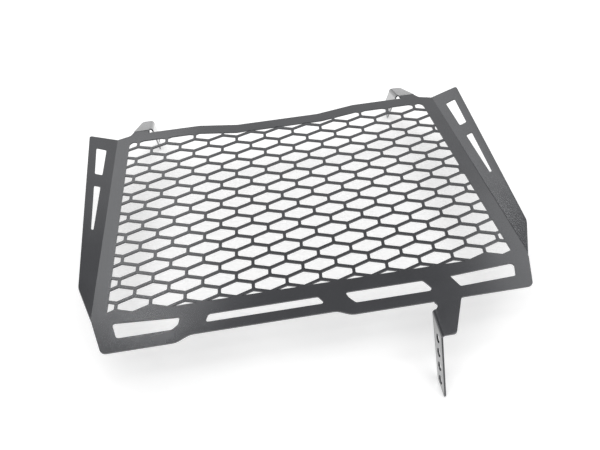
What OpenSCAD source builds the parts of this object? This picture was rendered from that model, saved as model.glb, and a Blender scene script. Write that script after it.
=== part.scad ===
// Radiator guard for a motorcycle: one laser-cut and folded sheet with a hexagon mesh.
// It lies face up on its two ears and its foot, X to the right and Y away from the foot.

/* [Sheet] */
// Thickness of the sheet
sheet_t = 1.5; // [1.2:0.1:2]
// Inside radius of every fold
fold_r = 2; // [1.5:0.25:2.5]
// Height of the panel's back face above the surface it lies on
stand_off = 50; // [46:1:56]

/* [Panel] */
// Height of the top edge above the middle of the panel, at the wing folds
shoulder_y = 121; // [118:0.5:123]
// Height of the top edge above the middle of the panel, beside the ears
brow_y = 126; // [124.5:0.5:127]
// Height of the top edge above the middle of the panel, between the brows
dip_y = 119.5; // [118:0.5:122]
// Half the width of the low middle stretch of the top edge
dip_x = 41; // [34:1:48]
// Half the width at which the top edge has risen to the brows
brow_x = 79; // [70:1:88]
// Depth of the bottom edge below the middle of the panel
bottom_y = 129.5; // [128:0.5:132]
// Half the width of the panel at its bottom corners
corner_x = 172.5; // [170:0.5:175]
// Rounding of the bottom corners
corner_r = 5; // [3:0.5:8]
// Height by which the middle stretch of the bottom edge is cut back
cutback_h = 5.5; // [3:0.5:6.5]
// Left end of the cut back stretch
cutback_left = -104; // [-108:1:-100]
// Right end of the cut back stretch
cutback_right = 13; // [9:1:15]
// Run of the slope at each end of the cut back stretch
cutback_run = 11; // [7:1:11]
// Rounding of the slopes along the edges
edge_blend_r = 12; // [6:1:14]

/* [Wings] */
// Half the width between the two wing folds at their upper ends
fold_top_x = 160.5; // [158:0.5:162]
// Half the width between the two wing folds at their lower ends
fold_low_x = 181; // [179:0.5:183]
// Depth of the lower ends of the wing folds below the middle of the panel
fold_low_y = 97; // [94:1:100]
// Angle by which each wing is folded forward
wing_angle = 22; // [10:1:35]
// Width of each wing at its upper end
wing_w = 26.5; // [25:0.5:30]
// Distance along the fold from its upper end to the elbow of the wing's free edge
elbow_along = 188; // [184:1:192]
// Width of each wing at its elbow
elbow_w = 13; // [11.5:0.5:15]
// Rounding of the wing's upper corner
wing_corner_r = 2.5; // [1:0.5:5]
// Rounding of the wing's elbow
elbow_r = 14; // [4:1:20]
// Distance of the wing slots from the fold
wing_slot_in = 8.4; // [7:0.2:9.6]
// Distance of the wing slots from the free edge
wing_slot_out = 7; // [6:0.2:8]
// Distance along the fold at which the first slot starts
slot_a_start = 17; // [12:1:22]
// Distance along the fold at which the first slot ends
slot_a_end = 53.5; // [48:0.5:58]
// Distance along the fold at which the second slot starts
slot_b_start = 68; // [63:1:73]
// Distance along the fold at which the second slot ends
slot_b_end = 123; // [110:1:126]
// Rounding inside the slots
slot_r = 1.6; // [0.6:0.2:2]

/* [Mesh] */
// Distance between neighbouring cells of one row
cell_pitch = 28; // [27:0.25:29]
// Distance between neighbouring rows
row_pitch = 12.3; // [12.2:0.1:12.6]
// Sideways step of each row beyond the plain half cell
row_lean = 1.3; // [0:0.1:2]
// Share of the row distance over which the sloping bars rise
slope_share = 0.39; // [0.34:0.01:0.45]
// Width of the bars
bar_w = 2.4; // [2:0.1:3]
// Rounding inside the corners of the cells
cell_r = 1; // [0.6:0.1:1.4]
// Sideways place of the cell in the middle row that lies next to the panel's middle
mesh_shift = 1.8; // [0:0.2:4]
// Width of the rim between the mesh and the wing folds, measured level
side_rim = 12; // [10.5:0.25:13]
// Width of the rim between the mesh and the top edge
top_rim = 11; // [10:0.25:12]
// Depth of the mesh's lower end below the middle of the panel
mesh_low_y = 94.5; // [94:0.1:95.2]
// Rounding of the mesh's upper corners
mesh_corner_r = 6; // [2:0.5:8]

/* [Bottom slots] */
// Depth of the upper edge of the bottom slots below the middle of the panel
slot_top_y = 107; // [106:0.5:108]
// Height of the bottom slots
slot_h = 12; // [10:0.5:13]
// Height of the bottom slot above the cut back stretch
slim_slot_h = 8; // [6:0.5:9]
// Left end of the outer left slot
left_slot_from = -164.5; // [-166:0.5:-163]
// Right end of the outer left slot
left_slot_to = -110.5; // [-113:0.5:-109]
// Left end of the slim slot
slim_slot_from = -91.5; // [-94:0.5:-90]
// Right end of the slim slot
slim_slot_to = 5.5; // [3:0.5:7]
// Left end of the slot beside the tongue
mid_slot_from = 22.5; // [21:0.5:24]
// Right end of the slot beside the tongue
mid_slot_to = 94.5; // [92:0.5:96]
// Left end of the outer right slot
right_slot_from = 110; // [108:0.5:112]
// Right end of the outer right slot
right_slot_to = 166; // [164:0.5:167]

/* [Ears] */
// Height of the ear folds above the middle of the panel
ear_fold_y = 129.5; // [128.5:0.5:131]
// Half the width between the two ears, inside
ear_in_x = 125.5; // [124:0.5:127]
// Half the width over the two ears at their folds
ear_out_x = 144.5; // [142:0.5:147]
// Angle by which each ear is folded back
ear_angle = 22; // [18:1:26]
// Length of each ear from its fold to its end
ear_len = 30; // [27:1:33]
// Width by which each ear narrows towards its end
ear_taper = 7; // [4:0.5:9]
// Angle by which each leaf leans away from the panel's normal
leaf_lean = 29; // [24:1:33]
// Width of each leaf
leaf_w = 17; // [15:0.5:19]
// Diameter of the bolt hole in each leaf
leaf_hole_d = 6.5; // [5:0.5:8.5]

/* [Foot] */
// Place of the foot's left face to the right of the panel's middle
foot_x = 87; // [85:0.5:89]
// Width of the tongue at the bottom edge
tongue_w = 24.5; // [22:0.5:27]
// Width of the tongue at its end
tongue_end_w = 10.5; // [9:0.5:13]
// Depth of the tongue's end below the middle of the panel
tongue_y = 162; // [159:1:165]
// Width of the foot at its fold
foot_w = 25; // [23:0.5:26]
// Width of the foot where it stands
sole_w = 19.5; // [18:0.5:22]
// Distance by which the sole lies nearer than the tongue's end
sole_reach = 26; // [22:1:30]
// Diameter of the holes in the foot
foot_hole_d = 8; // [6:0.5:9]
// Distance between the holes in the foot
foot_hole_pitch = 12.3; // [11.5:0.1:12.8]
// Number of holes in the foot
foot_hole_count = 4; // [1:1:4]
// Distance of the first hole from the panel's back face, along the foot
foot_hole_start = 13; // [11:0.5:14]

/* [Hidden] */
arc_fn = 24;
arc_step = 22.5;
bend_step = 18;
relief_r = 2;
tongue_relief_r = 3;
// Depth by which a flange reaches into the sheet that carries it, and by which a cutter stands out
stub = 2;
clear = 1;
// Largest share of a slot's narrow end that one rounding takes
slot_fill = 0.4;
// Place of the relief beside each ear
relief_out = 0.5;
relief_in = 0.3;
// Rise of the top edge from the wing folds to the ears, and its rounding
shoulder_rise = 3.5;
shoulder_r = 5;
tongue_r = 3;
// Distance by which the mesh's upper edge steps up later than the sheet's
window_lag = 2;
// Shape of the bottom slots: rise of the outer ones, lean of the ends and roundings
outer_rise = 5;
end_lean = 7;
slot_end_r = 2;
slot_low_r = 3;
slot_tip_r = 0.8;
// Line of the wing folds
fold_run = fold_low_x - fold_top_x;
fold_drop = shoulder_y + fold_low_y;
fold_len = norm([fold_run, fold_drop]);
fold_turn = atan2(fold_run, fold_drop);
// Distance that a wing's bend takes up, and by which its bar stock stands out
bend_in = (fold_r + sheet_t / 2) * sin(wing_angle);
fold_extra = 8;
// Shape of the mesh
cell_rise = row_pitch * slope_share;
cell_side = row_pitch - cell_rise;
lean_per_mm = row_lean / row_pitch;
first_row = -8;
last_row = 9;
first_reach = 122;
cells_a_side = 8;
// Place of the leaves and the foot
bend_x = foot_x + sheet_t + fold_r;
inner_fold_x = ear_in_x + sheet_t + fold_r;
leaf_start = 3;
leaf_tip_r = 3;
leaf_end_r = 7;
leaf_hole_inset = 9;
// Share of the ear's length at which its outer corner starts
ear_corner = 0.9;
sole_near_r = 2;
sole_far_r = 5;
// Corners of a leaf and of the foot, as height above the panel's middle and height above its back face
lean_down = [sin(leaf_lean), -cos(leaf_lean)];
lean_across = [cos(leaf_lean), sin(leaf_lean)];
tip_rise = leaf_tip_r * (cos(leaf_lean) + sin(leaf_lean) - 1);
leaf_near = [ear_fold_y + leaf_start * cos(ear_angle), -fold_r - leaf_start * sin(ear_angle)];
leaf_far = [ear_fold_y + ear_len * cos(ear_angle), -fold_r - ear_len * sin(ear_angle)];
leaf_tip = leaf_near + lean_down * (stand_off + tip_rise + leaf_near[1]) / cos(leaf_lean);
leaf_end = leaf_tip + lean_across * leaf_w;
foot_near = [-tongue_y, -fold_r];
foot_far = [-tongue_y + foot_w, -fold_r];
sole_near = [-tongue_y - sole_reach, -stand_off];
sole_far = sole_near + [sole_w, 0];
// The panel's middle, placed so that the guard's box is centred
reach_up = corner_middle(leaf_tip, leaf_end, leaf_far, leaf_end_r)[0] + leaf_end_r;
reach_down = corner_middle(foot_near, sole_near, sole_far, sole_near_r)[0] - sole_near_r;
middle_y = -(reach_up + reach_down) / 2;

function unit(v) = v / norm(v);
function xy(p) = [p[0], p[1]];
function backward(points) = [for (i = [len(points) - 1:-1:0]) points[i]];
function mirrored(points) = [for (p = backward(points)) [-p[0], p[1], p[2]]];
// The fold line's half width at a height of the panel
function fold_x(y) = fold_top_x + (shoulder_y - y) * fold_run / fold_drop;
// The free edge of a wing, at a distance along the fold
function wing_edge(along) = wing_w - (wing_w - elbow_w) * along / elbow_along;

function corner_middle(a, b, c, r) =
    let (u = unit(a - b))
    let (v = unit(c - b))
    b + unit(u + v) * r / sin(acos(u * v) / 2);

// Small corners are cut off, and large ones get an arc
function arc_steps(r, sweep) = r < 1.5 ? 1 : max(2, ceil(abs(sweep) / arc_step));

// The arc that replaces corner b between its neighbours a and c
function arc_points(a, b, c, r) =
    let (u = unit(a - b))
    let (v = unit(c - b))
    let (half = acos(u * v) / 2)
    let (centre = corner_middle(a, b, c, r))
    let (start = b + u * r / tan(half) - centre)
    let (stop = b + v * r / tan(half) - centre)
    let (from = atan2(start[1], start[0]))
    let (raw = atan2(stop[1], stop[0]) - from)
    let (sweep = raw > 180 ? raw - 360 : raw < -180 ? raw + 360 : raw)
    let (steps = arc_steps(r, sweep))
    [for (k = [0:steps]) centre + r * [cos(from + sweep * k / steps), sin(from + sweep * k / steps)]];

// A polygon through corners given as x, y and rounding radius
module rounded(points) {
    n = len(points);
    polygon([for (i = [0:n - 1])
        let (p = points[i])
        let (last = xy(points[(i + n - 1) % n]))
        let (next = xy(points[(i + 1) % n]))
        each p[2] == 0 ? [xy(p)] : arc_points(last, xy(p), next, p[2])]);
}

module both_sides() {
    children();
    mirror([1, 0, 0])
        children();
}

// Points across a fold that starts at 0 and bends the sheet down, on a face at radius r of the fold
function bend_steps(angle) = ceil(angle / bend_step);
function bend_points(r, angle) =
    [for (k = [0:bend_steps(angle)])
        let (turn = angle * k / bend_steps(angle))
        [r * sin(turn), r * cos(turn) - fold_r]];
function bend_end(r, angle, reach) =
    [r * sin(angle) + reach * cos(angle), r * cos(angle) - fold_r - reach * sin(angle)];

// Section of the sheet across a fold: a stub that lies in the panel, the bend and the flange
module fold_section(angle, reach) {
    outer_r = fold_r + sheet_t;
    polygon(concat(
        [[-stub, sheet_t]],
        bend_points(outer_r, angle),
        [bend_end(outer_r, angle, reach), bend_end(fold_r, angle, reach)],
        backward(bend_points(fold_r, angle)),
        [[-stub, 0]]
    ));
}

// The opening of one cell: an upright hexagon that leans with the rows
module cell() {
    half = cell_pitch / 2;
    side = cell_side / 2;
    tip = side + cell_rise;
    slope = atan2(cell_rise, half);
    in_x = half - bar_w / 2;
    in_tip = tip - bar_w / 2 / cos(slope);
    in_side = in_tip - in_x * tan(slope);
    plain = [
        [0, in_tip, 0],
        [in_x, in_side, cell_r],
        [in_x, -in_side, cell_r],
        [0, -in_tip, 0],
        [-in_x, -in_side, cell_r],
        [-in_x, in_side, cell_r]
    ];
    rounded([for (p = plain) [p[0] + lean_per_mm * p[1], p[1], p[2]]]);
}

module mesh_window() {
    low = -mesh_low_y;
    high = brow_y - top_rim;
    right = [
        [dip_x + window_lag, dip_y - top_rim, 0],
        [brow_x + window_lag, high, 0],
        [fold_x(high) - side_rim, high, mesh_corner_r],
        [fold_x(low) - side_rim, low, 0]
    ];
    rounded(concat(right, mirrored(right)));
}

function cell_x(row, i) = cell_pitch * (i + 0.5 - (abs(row) % 2) / 2) + row_lean * row + mesh_shift;
function is_whole(x, y) = abs(x) + cell_pitch / 2 + side_rim < fold_x(y + row_pitch / 2);

// Cells that the mesh's edges leave whole when whole is true, and the others when it is false
module cells(whole) {
    for (row = [first_row:last_row], i = [-cells_a_side:cells_a_side]) {
        x = cell_x(row, i);
        y = row_pitch * row;
        inner_row = row > first_row && row < last_row;
        kept = row > first_row || abs(x) < first_reach;
        if (kept && whole == (inner_row && is_whole(x, y)))
            translate([x, y])
                cell();
    }
}

module mesh() {
    cells(true);
    offset(delta = cell_r / 2)
        offset(delta = -cell_r / 2)
            intersection() {
                mesh_window();
                cells(false);
            }
}

module bottom_slots() {
    top = -slot_top_y;
    low = top - slot_h;
    slim_low = top - slim_slot_h;
    rounded([
        [left_slot_from, top + outer_rise, slot_end_r],
        [left_slot_to, top + outer_rise / 5, slot_end_r],
        [left_slot_to - outer_rise / 3, top - slot_h / 2, slot_low_r],
        [left_slot_to - end_lean, low + outer_rise / 3, slot_low_r],
        [left_slot_from + end_lean / 2, low + outer_rise / 3, slot_low_r]
    ]);
    rounded([
        [slim_slot_from + end_lean / 2, top, slot_low_r],
        [slim_slot_to - end_lean * 0.7, top, slot_end_r],
        [slim_slot_to, slim_low, slot_end_r],
        [slim_slot_from, slim_low, slot_end_r]
    ]);
    rounded([
        [mid_slot_from, top, slot_end_r],
        [mid_slot_to - end_lean, top, slot_low_r],
        [mid_slot_to, low, slot_low_r],
        [mid_slot_from + end_lean, low, slot_low_r],
        [mid_slot_from + end_lean / 3, top - slot_h / 2, slot_low_r]
    ]);
    rounded([
        [right_slot_from, top, slot_tip_r],
        [right_slot_to, top + outer_rise * 0.7, slot_low_r],
        [right_slot_to - end_lean / 2, low + outer_rise / 3, slot_end_r],
        [right_slot_from + end_lean * 0.8, low, slot_end_r]
    ]);
}

// The panel's sides end inside the stubs of the wings
module panel_outline() {
    strip_y = -bottom_y + cutback_h;
    inset = stub / 2;
    side_slope = (fold_low_x - corner_x) / (bottom_y - fold_low_y);
    below_fold = inset / (side_slope + fold_run / fold_drop);
    shoulder_x = ear_out_x + shoulder_rise;
    top_slope = shoulder_rise / (fold_top_x - shoulder_x);
    right = [
        [dip_x, dip_y, edge_blend_r],
        [brow_x, brow_y, edge_blend_r],
        [inner_fold_x, brow_y, 0],
        [inner_fold_x, ear_fold_y, 0],
        [ear_out_x, ear_fold_y, 0],
        [shoulder_x, shoulder_y + shoulder_rise, shoulder_r],
        [fold_top_x - inset, shoulder_y + inset * top_slope, 0],
        [fold_low_x - side_slope * below_fold, -fold_low_y - below_fold, 0],
        [corner_x, -bottom_y, corner_r]
    ];
    tongue = [
        [bend_x + tongue_w - fold_r, -bottom_y, tongue_r],
        [bend_x + tongue_end_w - fold_r, -tongue_y, tongue_r],
        [bend_x, -tongue_y, 0],
        [bend_x, -bottom_y, 0]
    ];
    bottom = [
        [cutback_right + cutback_run, -bottom_y, edge_blend_r],
        [cutback_right, strip_y, edge_blend_r],
        [cutback_left, strip_y, edge_blend_r],
        [cutback_left - cutback_run, -bottom_y, edge_blend_r]
    ];
    rounded(concat(right, tongue, bottom, mirrored(right)));
}

// A round relief cut at the end of a fold
module relief(x, y, r) {
    translate([x, y])
        circle(r = r, $fn = arc_fn);
}

module panel() {
    linear_extrude(sheet_t)
        difference() {
            panel_outline();
            mesh();
            bottom_slots();
            both_sides()
                relief(inner_fold_x - relief_out, brow_y + relief_r - relief_in, relief_r);
            relief(bend_x - tongue_relief_r / 2, -bottom_y - tongue_relief_r - clear, tongue_relief_r);
        }
}

module wing_slot(start, end) {
    far_start = wing_edge(start) - wing_slot_out;
    far_end = wing_edge(end) - wing_slot_out;
    end_r = min(slot_r, slot_fill * (far_end - wing_slot_in));
    rounded([
        [wing_slot_in, -start, slot_r],
        [far_start, -start, slot_r],
        [far_end, -end, end_r],
        [wing_slot_in, -end, end_r]
    ]);
}

// The wing's outline in its own plane, where x of 0 is the end of the bend
module wing_outline() {
    back = -(stub / 2 + bend_in);
    inside = -2 * (stub + fold_r + sheet_t);
    low_run = (fold_len - elbow_along) / (elbow_w + bend_in);
    rounded([
        [inside, -clear, 0],
        [back, tan(fold_turn) * stub / 2, 0],
        [wing_w, -(wing_w + bend_in) * tan(fold_turn), wing_corner_r],
        [elbow_w, -elbow_along, elbow_r],
        [back, -fold_len - low_run * stub / 2, 0],
        [inside, -fold_len, 0]
    ]);
}

// What stands across the end of a flange that was bent down by the angle
module across_flange(angle) {
    translate([0, 0, -fold_r])
        rotate([0, angle, 0])
            translate([0, 0, fold_r - clear])
                linear_extrude(sheet_t + 2 * clear)
                    children();
}

// A wing folds forward, so its fold is the backward one turned over in the sheet's middle plane
module wing() {
    translate([fold_top_x, shoulder_y, sheet_t])
        rotate([0, 0, fold_turn])
            mirror([0, 0, 1])
                difference() {
                    intersection() {
                        translate([0, fold_extra, 0])
                            rotate([90, 0, 0])
                                linear_extrude(fold_len + 2 * fold_extra)
                                    fold_section(wing_angle, wing_w + clear);
                        wing_prism();
                    }
                    across_flange(wing_angle) {
                        wing_slot(slot_a_start, slot_a_end);
                        wing_slot(slot_b_start, slot_b_end);
                    }
                }
}

module wing_prism() {
    deep = 2 * (stub + fold_r + sheet_t);
    translate([0, 0, -fold_r])
        rotate([0, wing_angle, 0])
            translate([0, 0, fold_r - deep])
                linear_extrude(2 * deep)
                    wing_outline();
}

// A shape drawn in Y and Z, made solid between two places along X
module between_x(from, to) {
    translate([from, 0, 0])
        rotate([90, 0, 90])
            linear_extrude(to - from)
                children();
}

// All that lies below one face of the sheet, from the panel over the ear's fold and along the ear
module below_ear(r, back, reach) {
    far = bend_end(r, ear_angle, reach);
    out = leaf_end[0] - ear_fold_y + back;
    deep = stand_off + back;
    translate([ear_fold_y, 0])
        polygon(concat(
            [[-back, r - fold_r]],
            bend_points(r, ear_angle),
            [far, [out, far[1]], [out, -deep], [-back, -deep]]
        ));
}

// A shape drawn across the leaf's fold, made solid along the ear, from the fold of the ear outwards
module along_ear(from, to) {
    translate([ear_in_x, ear_fold_y, -fold_r])
        rotate([90 - ear_angle, 0, 0])
            translate([0, 0, -to])
                linear_extrude(to - from)
                    children();
}

// What the leaf's fold rounds off, on a face at radius r of the fold
module fold_corner(r) {
    middle = fold_r + sheet_t;
    turns = bend_steps(90);
    arc = [for (k = [0:turns]) [middle - r * cos(90 * k / turns), r * sin(90 * k / turns)]];
    polygon(concat(arc, [[middle, r + clear], [middle - r - clear, r + clear], [middle - r - clear, 0]]));
}

// The side view of the ear and its leaf
module ear_side() {
    over = fold_r + sheet_t + clear;
    rounded([
        [ear_fold_y - stub - clear, -fold_r, 0],
        [ear_fold_y, -fold_r, 0],
        with_r(leaf_near, 0),
        with_r(leaf_tip, leaf_tip_r),
        with_r(leaf_end, leaf_end_r),
        with_r(leaf_far, 0),
        with_r(leaf_far + over * [sin(ear_angle), cos(ear_angle)], 0),
        [ear_fold_y - stub - clear, over, 0]
    ]);
}

// What the ear's outer edge leaves out, drawn in the ear's plane
module ear_cut() {
    far = ear_len + 2 * clear;
    side = ear_out_x + stub;
    rounded([
        [ear_out_x, 0, 0],
        [ear_out_x - ear_taper * ear_corner, ear_len * ear_corner, relief_r],
        [ear_out_x - ear_taper - ear_len * (1 - ear_corner), far, 0],
        [side, far, 0],
        [side, 0, 0]
    ]);
}

// An ear and its leaf are what lies between the sheet's two faces
module ear() {
    long = ear_len + 2 * stub;
    hole = leaf_tip + lean_across * leaf_w / 2 - lean_down * leaf_hole_inset;
    difference() {
        intersection() {
            difference() {
                between_x(ear_in_x, ear_out_x)
                    below_ear(fold_r + sheet_t, stub, long);
                along_ear(-stub, long + stub)
                    fold_corner(fold_r + sheet_t);
                difference() {
                    between_x(ear_in_x + sheet_t, ear_out_x + clear)
                        below_ear(fold_r, 2 * stub, long + stub);
                    along_ear(-2 * stub, long + 2 * stub)
                        fold_corner(fold_r);
                }
            }
            between_x(ear_in_x - clear, ear_out_x + clear)
                ear_side();
        }
        along_ear(-2 * stub, leaf_start)
            translate([-clear, -clear])
                square([fold_r + sheet_t + clear, fold_r + sheet_t + 3 * clear]);
        translate([0, ear_fold_y, -fold_r])
            rotate([-ear_angle, 0, 0])
                linear_extrude(2 * fold_r + sheet_t)
                    ear_cut();
        cross_hole(ear_in_x, hole, leaf_hole_d);
    }
}

// A hole through an upright plate, at a height above the panel's middle and one above its back face
module cross_hole(x, at, d) {
    translate([x - clear, at[0], at[1]])
        rotate([0, 90, 0])
            cylinder(h = sheet_t + 2 * clear, d = d, $fn = arc_fn);
}

function with_r(p, r) = [p[0], p[1], r];

// The side view of the foot
module foot_side() {
    over = sheet_t + clear;
    rounded([
        with_r(foot_near, 0),
        with_r(sole_near, sole_near_r),
        with_r(sole_far, sole_far_r),
        with_r(foot_far, 0),
        [foot_far[0], over, 0],
        [foot_near[0], over, 0]
    ]);
}

module foot() {
    top_middle = [foot_near[0] + foot_w / 2, 0];
    run = unit((sole_near + sole_far) / 2 - top_middle);
    far = foot_far[0] + clear;
    difference() {
        intersection() {
            translate([bend_x, far, 0])
                mirror([1, 0, 0])
                    rotate([90, 0, 0])
                        linear_extrude(far - sole_near[0] + clear)
                            fold_section(90, stand_off);
            between_x(foot_x - clear, bend_x + stub + clear)
                foot_side();
        }
        for (i = [0:foot_hole_count - 1])
            cross_hole(foot_x, top_middle + run * (foot_hole_start + foot_hole_pitch * i), foot_hole_d);
    }
}

module guard() {
    color("dimgray")
        translate([0, middle_y, stand_off]) {
            panel();
            both_sides() {
                wing();
                ear();
            }
            foot();
        }
}

guard();
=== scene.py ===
# %% [markdown]
# A motorcycle radiator guard in Blender
#
# The real guard is one flat sheet of metal. A laser cuts its outline, its hexagon mesh
# and its slots, a press folds its wings, ears and foot, and it is powder coated in a
# dark satin grey. The folded solid comes from the CAD model, so what is left for
# Blender is what the eye reads: the softened edges, the coat, the light and the camera.

# %% Load the frame
import bpy, bmesh, math
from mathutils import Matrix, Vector
from mathutils.bvhtree import BVHTree


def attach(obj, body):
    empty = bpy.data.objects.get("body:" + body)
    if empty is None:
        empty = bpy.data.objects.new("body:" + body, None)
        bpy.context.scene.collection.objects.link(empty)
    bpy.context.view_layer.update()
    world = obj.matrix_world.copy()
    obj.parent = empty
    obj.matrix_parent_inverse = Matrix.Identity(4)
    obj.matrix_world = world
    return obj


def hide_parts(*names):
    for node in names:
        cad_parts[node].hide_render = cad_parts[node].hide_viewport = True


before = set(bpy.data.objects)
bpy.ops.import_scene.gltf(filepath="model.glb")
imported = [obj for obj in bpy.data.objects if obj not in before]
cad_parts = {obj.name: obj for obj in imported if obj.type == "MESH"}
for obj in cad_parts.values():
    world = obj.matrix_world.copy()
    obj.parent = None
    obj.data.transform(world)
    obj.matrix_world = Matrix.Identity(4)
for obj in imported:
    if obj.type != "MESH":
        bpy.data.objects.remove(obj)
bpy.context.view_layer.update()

# %% [markdown]
# The camera
#
# The camera stands in front of the guard, a little to the left of its middle, and
# looks down on it at about 48 degrees. It could be placed by eye, but a small error
# shows at once in a pattern this regular. So its place and its lens were found from the
# perspective of the mesh, whose cells are all alike: the nearer cells look larger, and
# how fast they shrink says how far away the camera stood.

# %% A helper that puts an object in the scene
def put_in_scene(name, data):
    """Makes an object from its data and links it, so that it shows."""
    item = bpy.data.objects.new(name, data)
    bpy.context.scene.collection.objects.link(item)
    return item

# %% Set the camera
CAMERA_PLACE = (-0.0518, -0.4477, 0.5252)
CAMERA_TURN = (42.222, 2.291, -9.303)
CAMERA_LENS = 43.76
CAMERA_SENSOR = 36

camera_data = bpy.data.cameras.new("camera")
camera_data.lens = CAMERA_LENS
camera_data.sensor_width = CAMERA_SENSOR
camera = put_in_scene("camera", camera_data)
camera.location = CAMERA_PLACE
camera.rotation_euler = [math.radians(angle) for angle in CAMERA_TURN]
bpy.context.scene.camera = camera
print("camera at", CAMERA_PLACE, "metres with a lens of", CAMERA_LENS, "mm")

# %% [markdown]
# The sheet, merged
#
# The folded sheet could be modelled again here, but then its holes and folds would
# drift from the CAD model's. A copy of the CAD mesh keeps them exact. A CAD
# mesh is loose triangles, so the copy's points are merged first: an edge can be
# softened only where the faces on both its sides share it.

# %% Copy and merge the folded sheet
MERGE_GAP = 2e-6

def open_edges(mesh):
    """Counts the edges that don't join exactly two faces."""
    return sum(1 for edge in mesh.edges if not edge.is_manifold)

sheet = bmesh.new()
sheet.from_mesh(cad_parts["guard"].data)
bmesh.ops.remove_doubles(sheet, verts=sheet.verts, dist=MERGE_GAP)
bmesh.ops.dissolve_degenerate(sheet, edges=sheet.edges, dist=MERGE_GAP)
print("merged sheet:", len(sheet.verts), "points,", len(sheet.faces), "triangles,",
      open_edges(sheet), "open edges")

# %% [markdown]
# Broad faces and cut walls
#
# The sheet has two kinds of face: the broad ones that were rolled smooth, and the
# narrow walls that the laser cut. Each kind gets a finish of its own. They could be
# picked by the way they face, but the folds turn both kinds in many directions. A ray
# into the metal tells them apart anywhere. Under a broad face it comes out after one
# sheet thickness. Behind a cut wall it runs on for longer, because every bar and rim is
# wider than the sheet is thick.

# %% Mark the walls that the laser cut
SHEET_THICKNESS = 0.0015
LONGER_THAN_SHEET = 1.25 * SHEET_THICKNESS
RAY_START = 1e-5
BROAD, CUT = 0, 1

def area(faces):
    """Adds up the area of some faces, in square metres."""
    return sum(face.calc_area() for face in faces)

metal = BVHTree.FromBMesh(sheet)
for face in sheet.faces:
    inside = face.calc_center_median() - RAY_START * face.normal
    depth = metal.ray_cast(inside, -face.normal)[3]
    through_sheet = depth is not None and depth <= LONGER_THAN_SHEET
    face.material_index = BROAD if through_sheet else CUT
cut_share = area(f for f in sheet.faces if f.material_index == CUT) / area(sheet.faces)
print("cut walls are", round(100 * cut_share, 1), "percent of the surface")

# %% [markdown]
# The coat that narrows the openings
#
# Powder is drawn to edges, so it builds up on the cut walls, and every opening ends up
# a little narrower than the laser left it. The bars of the mesh look bolder for it. A
# Displace modifier would thicken the whole guard, which would then outgrow the CAD
# model. So only the walls that face an opening are moved, by the thickness of the coat,
# and the outer outline keeps its size.

# %% Find the walls that face an opening
SMALLEST_OPENING = 5e-6
LARGEST_OPENING = 5e-4
SQUARE_MM = 1e6

def wall_loops(mesh):
    """Groups the cut walls that touch each other: one group goes round each opening."""
    # A dictionary keeps its order, so each run adds up the same numbers in turn.
    left = dict.fromkeys(f for f in mesh.faces if f.material_index == CUT)
    while left:
        ring, front = [], [left.popitem()[0]]
        while front:
            face = front.pop()
            ring.append(face)
            for near in (f for e in face.edges for f in e.link_faces):
                if near in left:
                    del left[near]
                    front.append(near)
        yield ring

rings = sorted(wall_loops(sheet), key=area)
# A group smaller than any opening is a patch of a fold that the ray misread.
for face in (f for ring in rings if area(ring) < SMALLEST_OPENING for f in ring):
    face.material_index = BROAD
openings = [ring for ring in rings if SMALLEST_OPENING < area(ring) < LARGEST_OPENING]
smallest, largest = (round(SQUARE_MM * area(openings[end])) for end in (0, -1))
print(len(openings), "openings, with walls of", smallest, "to", largest, "square mm")

# %% Build up the coat in the openings
COAT_BUILD_UP = 0.0002
MM = 1000

for ring in openings:
    pushes = {corner: Vector() for face in ring for corner in face.verts}
    for face in ring:
        for corner in face.verts:
            pushes[corner] += face.calc_area() * face.normal
    for corner, push in pushes.items():
        corner.co += COAT_BUILD_UP * push.normalized()
print("the coat narrows each opening by", round(2 * MM * COAT_BUILD_UP, 2), "mm")

# %% [markdown]
# The softened edges
#
# A laser leaves square edges, but tumbling and the powder that builds up round them
# leave a radius of about a fifth of a millimetre. That radius catches the light as a
# thin line, so a sheet without it looks like cut paper. A shader could fake it, but the
# mesh itself would not have it, so the edges are really bevelled. Flat areas are first
# dissolved back into large faces, because a bevel should follow the real edges only.

# %% Dissolve the flat areas
FLAT_ANGLE = math.radians(0.3)

bmesh.ops.dissolve_limit(sheet, verts=sheet.verts, edges=sheet.edges,
                         angle_limit=FLAT_ANGLE, delimit={"MATERIAL"})
print("flat areas dissolved:", len(sheet.faces), "faces")

# %% Round the sharp edges
EDGE_RADIUS = 0.00018
EDGE_SEGMENTS = 2
SHARP_ANGLE = math.radians(35)
MOST_CORNERS = 4

sharp = [e for e in sheet.edges if e.is_manifold and e.calc_face_angle(0) > SHARP_ANGLE]
bmesh.ops.bevel(sheet, geom=sharp, offset=EDGE_RADIUS, offset_type="OFFSET",
                affect="EDGES", segments=EDGE_SEGMENTS, profile=0.5, material=-1,
                clamp_overlap=False)
many_sided = [face for face in sheet.faces if len(face.verts) > MOST_CORNERS]
bmesh.ops.triangulate(sheet, faces=many_sided)
for face in sheet.faces:
    face.smooth = True
print("after the bevel:", len(sheet.faces), "faces from", len(sharp), "sharp edges,",
      open_edges(sheet), "open edges")

# %% [markdown]
# The piece
#
# The finished sheet becomes an object that stands for the CAD node. The node stays
# hidden in the same place, for the collisions. Smooth shading alone would bend the
# light across the large flat faces, and flat shading would show every facet of the
# folds. Weighted normals sit between the two: the largest faces decide, so they stay
# flat and only the bevels and the folds look round.

# %% A helper that turns a bmesh into an object
def object_from(build, name):
    """Writes a bmesh to a mesh of that name, frees it and puts the object in place."""
    mesh = bpy.data.meshes.new(name)
    build.to_mesh(mesh)
    build.free()
    return put_in_scene(name, mesh)

# %% Make it a piece that stands for the CAD node
LARGE_FACES_DECIDE = 100

guard_sheet = object_from(sheet, "guard_sheet")
weighted = guard_sheet.modifiers.new("flat faces stay flat", "WEIGHTED_NORMAL")
weighted.weight = LARGE_FACES_DECIDE
weighted.keep_sharp = True
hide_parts("guard")
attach(guard_sheet, "root")
print("guard_sheet stands for the node guard and rides on root")

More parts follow.
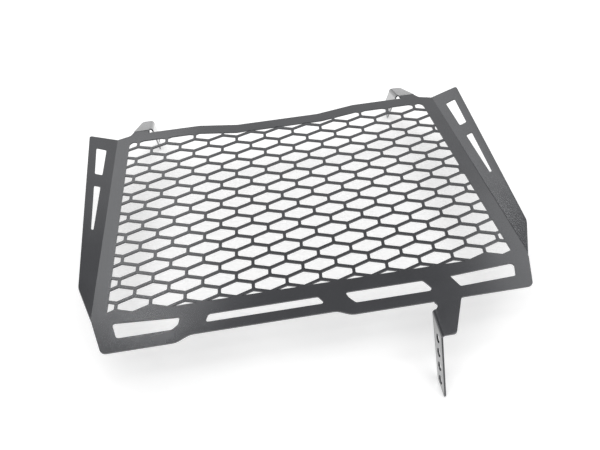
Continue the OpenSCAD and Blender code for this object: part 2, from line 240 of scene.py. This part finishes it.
# %% [markdown]
# The powder coat
#
# Powder is sprayed on dry, clings by static charge and melts in an oven. It never flows
# out quite flat, so its surface keeps a faint orange peel with waves of one to two
# millimetres and a fine grain. Both are bump here, because they are hundredths of a
# millimetre deep. The pattern could come from a painted texture, but noise on Object
# coordinates has no seams and keeps its real size. The colour is a nearly black grey
# with a blue cast, and the gloss is satin: the reflection of a lamp stays soft. A clear
# skin lies over it, as the melted powder's own surface does, and brightens the faces
# that are seen almost edge on, such as the foot's.

# %% A helper that adds shader nodes
def add_node(tree, kind, **values):
    """Adds a shader node and sets its sockets and settings by name."""
    node = tree.nodes.new(kind)
    for name, value in values.items():
        key = name.replace("_", " ")
        if key in node.inputs:
            node.inputs[key].default_value = value
        else:
            setattr(node, name, value)
    return node

# %% A helper that mixes a coat
CLOUDS_PER_METRE = 38.0
CLOUD_DETAIL = 3.0
CLOUD_ROUGHNESS = 0.55
CLOUD_STOPS = (0.35, 0.68)

def mix_coat(name, dark, light, gloss, stretch=(1, 1, 1)):
    """Makes a coat whose colour and roughness drift. gloss is its roughness range."""
    coat = bpy.data.materials.new(name)
    coat.use_nodes = True
    tree = coat.node_tree
    shader = tree.nodes["Principled BSDF"]
    where = add_node(tree, "ShaderNodeTexCoord")
    place = add_node(tree, "ShaderNodeMapping", Scale=stretch)
    cloud = add_node(tree, "ShaderNodeTexNoise", Scale=CLOUDS_PER_METRE,
                     Detail=CLOUD_DETAIL, Roughness=CLOUD_ROUGHNESS)
    tint = add_node(tree, "ShaderNodeValToRGB")
    ramp = zip(tint.color_ramp.elements, CLOUD_STOPS, (dark, light))
    for stop, position, colour in ramp:
        stop.position, stop.color = position, colour
    sheen = add_node(tree, "ShaderNodeMapRange", To_Min=gloss[0], To_Max=gloss[1])
    wires = ((where, "Object", place, "Vector"), (where, "Object", cloud, "Vector"),
             (cloud, "Fac", tint, "Fac"), (tint, "Color", shader, "Base Color"),
             (cloud, "Fac", sheen, "Value"), (sheen, "Result", shader, "Roughness"))
    for source, output, target, socket in wires:
        tree.links.new(source.outputs[output], target.inputs[socket])
    print(name, "is mixed from", dark[:3], "to", light[:3])
    return coat, tree, shader, place

# %% A helper that presses waves into a coat
WAVE_DETAIL = 2.0

def press_waves(tree, shader, place, waves):
    """Chains a bump for each (waves per metre, depth in metres, strength)."""
    below = None
    for per_metre, depth, strength in waves:
        pattern = add_node(tree, "ShaderNodeTexNoise", Scale=per_metre,
                           Detail=WAVE_DETAIL)
        bump = add_node(tree, "ShaderNodeBump", Strength=strength, Distance=depth)
        tree.links.new(place.outputs["Vector"], pattern.inputs["Vector"])
        tree.links.new(pattern.outputs["Fac"], bump.inputs["Height"])
        if below:
            tree.links.new(below.outputs["Normal"], bump.inputs["Normal"])
        below = bump
        print("waves every", round(MM / per_metre, 2), "mm,",
              round(MM * depth, 3), "mm deep")
    tree.links.new(below.outputs["Normal"], shader.inputs["Normal"])

# %% Mix the coat of the broad faces
COAT_DARK = (0.023, 0.0235, 0.027, 1)
COAT_LIGHT = (0.030, 0.0305, 0.035, 1)
COAT_GLOSS = (0.19, 0.2)
COAT_TINT = (0.93, 0.96, 1.0, 1)
SKIN_SHARE = 1.0
SKIN_GLOSS = 0.17
ORANGE_PEEL = (700, 0.00006, 0.006)
GRAIN = (5200, 0.00002, 0.004)

coat, coat_tree, coat_shader, coat_place = mix_coat(
    "satin_coat", COAT_DARK, COAT_LIGHT, COAT_GLOSS)
coat_shader.inputs["Specular Tint"].default_value = COAT_TINT
coat_shader.inputs["Coat Weight"].default_value = SKIN_SHARE
coat_shader.inputs["Coat Roughness"].default_value = SKIN_GLOSS
press_waves(coat_tree, coat_shader, coat_place, (ORANGE_PEEL, GRAIN))

# %% [markdown]
# The cut walls
#
# A laser beam leaves fine upright ridges in the wall that it cuts. Powder clings less
# well there and covers the ridges without hiding them, so the walls are dull. Their
# near-black colour is painted shade: it stands for the shade that the walls face, low
# down under the sheet and towards the camera. Under each bar of the mesh this painted
# shade draws a thin dark line, which is what gives the pattern its depth. The ridges
# could be modelled, but they are far too many and too fine, so they are the same noise
# as the orange peel, stretched through the thickness of the sheet.

# %% Mix the coat of the cut walls
# Painted shade: these near-black colours of the cut walls stand for the shade they
# face.
WALL_PAINTED_SHADE_DARK = (0.003, 0.003, 0.0034, 1)
WALL_PAINTED_SHADE_LIGHT = (0.006, 0.006, 0.0068, 1)
WALL_GLOSS = (0.60, 0.75)
WALL_SHINE = 0.1
RIDGE_STRETCH = (1, 1, 0.06)
RIDGES = (3400, 0.00004, 0.5)

wall, wall_tree, wall_shader, wall_place = mix_coat(
    "cut_wall_painted_shade", WALL_PAINTED_SHADE_DARK, WALL_PAINTED_SHADE_LIGHT, WALL_GLOSS, RIDGE_STRETCH)
wall_shader.inputs["Specular IOR Level"].default_value = WALL_SHINE
press_waves(wall_tree, wall_shader, wall_place, (RIDGES,))

# %% Coat the sheet
for coated in (guard_sheet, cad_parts["guard"]):
    coated.data.materials.clear()
    coated.data.materials.append(coat)
guard_sheet.data.materials.append(wall)
print("the sheet wears", [finish.name for finish in guard_sheet.data.materials])

# %% [markdown]
# The floor
#
# The guard was photographed for a catalogue, on a white sweep that is lit so brightly
# that it turns pure white. Only the deepest part of the shadow under the sheet stays
# grey. Brighter lamps alone would whiten the paper too, but they would also turn the
# coat grey. So the paper gets a little light of its own, as a sweep that is lit from
# below has. Blender's Standard view lets white paper clip to white in the same way,
# where the default view would keep it grey.

# %% Lay the floor
PAPER_WHITE = (0.86, 0.86, 0.86, 1)
PAPER_ROUGHNESS = 0.9
PAPER_GLOW = 0.37
FLOOR_HALF_SIDE = 6.0

floor_build = bmesh.new()
bmesh.ops.create_grid(floor_build, x_segments=1, y_segments=1, size=FLOOR_HALF_SIDE)
floor = object_from(floor_build, "floor")
print("the floor is", 2 * FLOOR_HALF_SIDE, "metres square")

# %% Whiten the paper
paper = bpy.data.materials.new("white_sweep")
paper.use_nodes = True
paper_shader = paper.node_tree.nodes["Principled BSDF"]
paper_shader.inputs["Base Color"].default_value = PAPER_WHITE
paper_shader.inputs["Roughness"].default_value = PAPER_ROUGHNESS
paper_shader.inputs["Emission Color"].default_value = PAPER_WHITE
paper_shader.inputs["Emission Strength"].default_value = PAPER_GLOW
floor.data.materials.append(paper)
bpy.context.scene.view_settings.view_transform = "Standard"
print("the paper glows with", PAPER_GLOW, "and is shown with the Standard view")

# %% [markdown]
# Soft boxes
#
# Satin paint shows what it reflects, so the lamps are placed as mirrors would ask. The
# sheet lies flat, so each part of it mirrors a spot overhead and behind. A long box on
# the left lights the left rim, a wide one at the back the top rim, a small one the glow
# in the lower left corner, and one on the right the lower right corner. The lower rim
# mirrors the gap in front of them and stays darkest. The widest box hangs higher and
# whitens the paper. It ends before the part of the ceiling that the panel mirrors, so
# it adds little glare.

# %% A helper that hangs a soft box
RIG_HEIGHT = 1.6
TOP_HEIGHT = 2.2

def soft_box(name, x_range, y_range, power, height=RIG_HEIGHT):
    """Hangs a lamp level over the table, across a range of x and one of y in metres."""
    data = bpy.data.lights.new(name, "AREA")
    data.shape = "RECTANGLE"
    data.size, data.size_y = x_range[1] - x_range[0], y_range[1] - y_range[0]
    data.energy = power
    lamp = put_in_scene(name, data)
    lamp.location = (sum(x_range) / 2, sum(y_range) / 2, height)
    print(name, "is", round(data.size, 2), "by", round(data.size_y, 2),
          "metres and gives", power, "watts")

# %% Hang the lamps
soft_box("left_box", x_range=(-1.1, -0.2), y_range=(1.03, 2.3), power=4.4)
soft_box("back_box", x_range=(-0.2, 1.1), y_range=(1.45, 2.6), power=2.7)
soft_box("right_box", x_range=(0.78, 1.6), y_range=(0.5, 1.5), power=3.3)
soft_box("glow_box", x_range=(-0.5, -0.32), y_range=(1.01, 1.11), power=0.85)
soft_box("top_box", x_range=(-1.8, 1.8), y_range=(-1.6, 1.0), power=48,
         height=TOP_HEIGHT)

# %% [markdown]
# The room
#
# Between the lamps the sheet mirrors the studio's pale walls. In a black room those
# parts would turn black, and the guard would look lit by torches. A picture of a studio
# could be wrapped round the scene, but an even, dim white gives every side of the guard
# the same base tone and needs no file.

# %% Light the room
ROOM_WHITE = (1, 1, 1, 1)
ROOM_LIGHT = 0.34

world = bpy.data.worlds.new("studio")
bpy.context.scene.world = world
world.use_nodes = True
background = world.node_tree.nodes["Background"]
background.inputs["Color"].default_value = ROOM_WHITE
background.inputs["Strength"].default_value = ROOM_LIGHT
print("the room's light is", ROOM_LIGHT)

# %% [markdown]
# Finish
#
# Last, the scene is brought up to date.

# %% Update the scene
bpy.context.view_layer.update()
